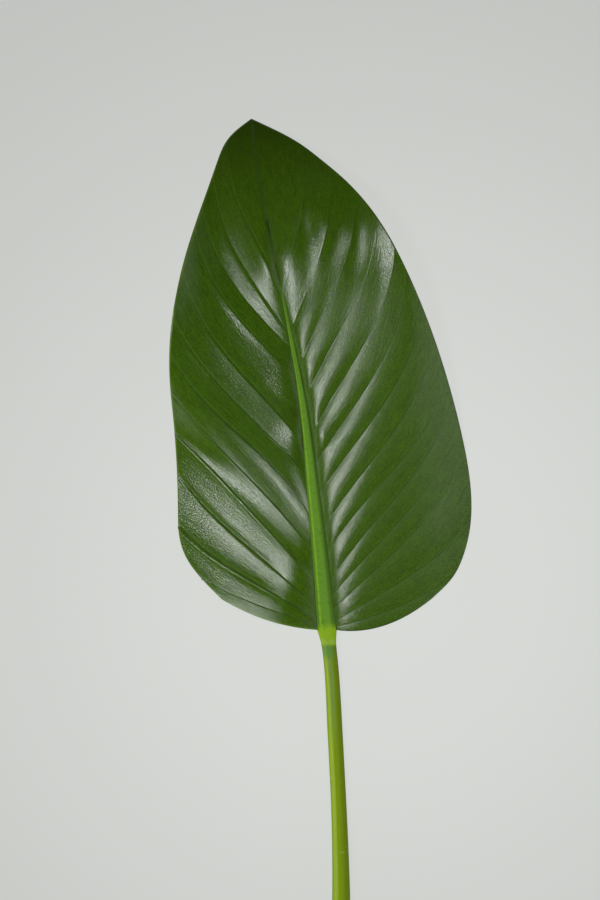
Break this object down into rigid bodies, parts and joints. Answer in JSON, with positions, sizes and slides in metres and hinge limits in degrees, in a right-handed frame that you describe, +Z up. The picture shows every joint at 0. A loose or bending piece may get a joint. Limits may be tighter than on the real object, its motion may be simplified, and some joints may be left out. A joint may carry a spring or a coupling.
{
  "type": "cut foliage leaf",
  "caption": "Ovate glossy green leaf on a long stalk, with a pale midrib and sunken side veins, cut for a vase and lying flat.",
  "frame": {"origin": "middle of the bounding box in plan, on the surface that the leaf lies on", "axes": "+Y from the cut end of the stalk towards the tip of the leaf, +Z up out of the upper side, +X to the right as seen from above with the tip away from the viewer"},
  "size_m": [0.1762, 0.539, 0.0294],
  "materials": {
    "blade_green": "satin leaf surface with a soft grey sheen, mid to dark green, paler and matt underneath",
    "stalk_green": "satin yellow-green stalk and midrib with lengthwise streaks"
  },
  "bodies": {
    "root": {"blade": "blade_green", "petiole_midrib": "stalk_green"}
  },
  "joints": []
}
